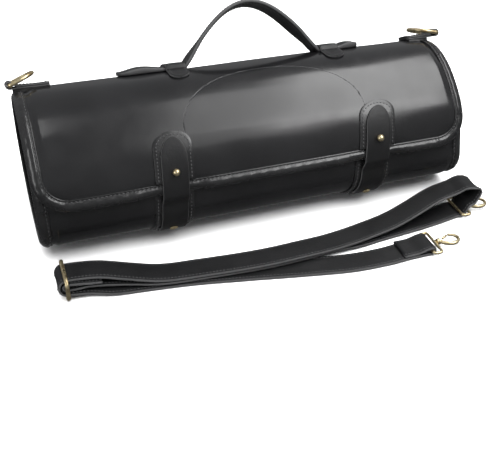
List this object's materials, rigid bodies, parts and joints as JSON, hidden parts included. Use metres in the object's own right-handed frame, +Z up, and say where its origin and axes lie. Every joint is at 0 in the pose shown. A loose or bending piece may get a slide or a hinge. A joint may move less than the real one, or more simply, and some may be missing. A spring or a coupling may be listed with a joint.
{
  "type": "chef knife roll",
  "caption": "Leather chef knife roll, rolled up and strapped shut, with an arched carrying handle, end rings and a clip-on shoulder strap lying in front.",
  "frame": {"origin": "on the surface that the roll stands on, under the middle of the rolled body's sole", "axes": "+X runs along the roll to the end with the shoulder strap's clips, +Y away from the side with the closing straps, +Z up"},
  "size_m": [0.4805, 0.2817, 0.2015],
  "materials": {
    "glazed_leather": "polished black leather with a soft glaze",
    "trim_leather": "satin black leather strips",
    "strap_leather": "satin black strap leather",
    "suede_lining": "matt black suede-like cloth",
    "antique_brass": "darkened brass"
  },
  "bodies": {
    "roll": {"outer_sheet": "glazed_leather", "zip_pocket": "glazed_leather", "edge_binding": "trim_leather", "strap_patch_left": "trim_leather", "strap_patch_right": "trim_leather", "strap_band_left": "trim_leather", "strap_band_right": "trim_leather", "handle_keeper_left": "trim_leather", "handle_keeper_right": "trim_leather", "closing_strap_left": "strap_leather", "closing_strap_right": "strap_leather", "handle": "strap_leather", "ring_tab_left": "strap_leather", "ring_tab_right": "strap_leather", "shoulder_strap": "strap_leather", "lining": "suede_lining", "knife_slots": "suede_lining", "cover_flap": "suede_lining", "stud_left": "antique_brass", "stud_right": "antique_brass", "rivet_left": "antique_brass", "rivet_right": "antique_brass", "strap_slide": "antique_brass", "clip_loop_a": "antique_brass", "clip_loop_b": "antique_brass"},
    "ring_left": {"d_ring_left": "antique_brass"},
    "ring_right": {"d_ring_right": "antique_brass"},
    "hook_a": {"clip_hook_a": "antique_brass"},
    "gate_a": {"clip_gate_a": "antique_brass"},
    "hook_b": {"clip_hook_b": "antique_brass"},
    "gate_b": {"clip_gate_b": "antique_brass"}
  },
  "joints": [
    {"name": "ring_left_hinge", "type": "hinge", "parent": "roll", "child": "ring_left", "pos_m": [-0.2315, 0.03175, 0.1475], "axis": [0, -0.9263, 0.3767], "range_deg": [-13, 165]},
    {"name": "ring_right_hinge", "type": "hinge", "parent": "roll", "child": "ring_right", "pos_m": [0.2395, 0.03052, 0.14162], "axis": [0, 0.9263, -0.3767], "range_deg": [-6, 172]},
    {"name": "hook_a_swivel", "type": "hinge", "parent": "roll", "child": "hook_a", "pos_m": [0.2205, -0.12088, 0.0049], "axis": [1, 0, 0], "continuous": true},
    {"name": "gate_a_hinge", "type": "hinge", "parent": "hook_a", "child": "gate_a", "pos_m": [0.22664, -0.1178, 0.0049], "axis": [0, 0, 1], "range_deg": [-28, 0], "stiffness_Nm_per_rad": 0.02, "springref_deg": 28.65},
    {"name": "hook_b_swivel", "type": "hinge", "parent": "roll", "child": "hook_b", "pos_m": [0.1584, -0.17184, 0.0049], "axis": [1, 0, 0], "continuous": true},
    {"name": "gate_b_hinge", "type": "hinge", "parent": "hook_b", "child": "gate_b", "pos_m": [0.16453, -0.16876, 0.0049], "axis": [0, 0, 1], "range_deg": [-28, 0], "stiffness_Nm_per_rad": 0.02, "springref_deg": 28.65}
  ]
}
